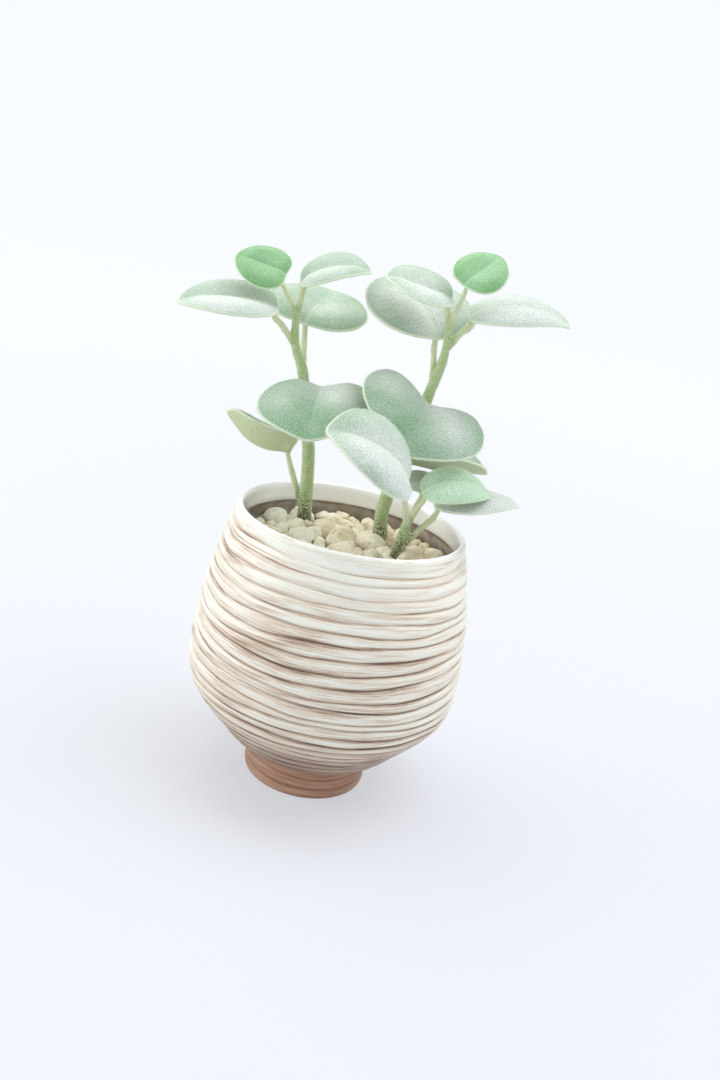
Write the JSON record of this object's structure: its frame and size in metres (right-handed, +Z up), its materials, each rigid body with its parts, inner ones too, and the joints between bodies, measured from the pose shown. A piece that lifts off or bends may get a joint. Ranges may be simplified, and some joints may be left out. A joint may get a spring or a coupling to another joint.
{
  "type": "potted peperomia",
  "caption": "Felt-leaved peperomia with round grey-green leaves on upright stems, growing in a ribbed footed ceramic pot topped with pumice pebbles.",
  "frame": {"origin": "centre of the flat underside of the pot's foot, on the surface the pot stands on", "axes": "+Z up along the pot's axis, -Y the front, from which the picture is taken, +X to its right"},
  "size_m": [0.1591, 0.1251, 0.2392],
  "materials": {
    "pot_glaze": "satin",
    "potting_mix": "matte",
    "pumice": "matte",
    "stem": "matte",
    "leaf": "matte",
    "young_leaf": "matte"
  },
  "bodies": {
    "root": {"pot": "pot_glaze", "potting_mix": "potting_mix", "gravel": "pumice", "stem_left": "stem", "stem_middle": "stem", "stem_right": "stem", "leaf_left_top": "young_leaf", "leaf_left_inner": "leaf", "leaf_left_outer": "leaf", "leaf_left_back": "leaf", "leaf_left_front": "leaf", "leaf_left_low": "leaf", "leaf_middle_front": "leaf", "leaf_middle_low": "leaf", "leaf_middle_back": "leaf", "leaf_middle_inner": "leaf", "leaf_middle_round": "young_leaf", "leaf_middle_outer": "leaf", "leaf_right_front": "leaf", "leaf_right_small": "young_leaf", "leaf_right_outer": "leaf", "leaf_right_back": "leaf"}
  },
  "joints": []
}
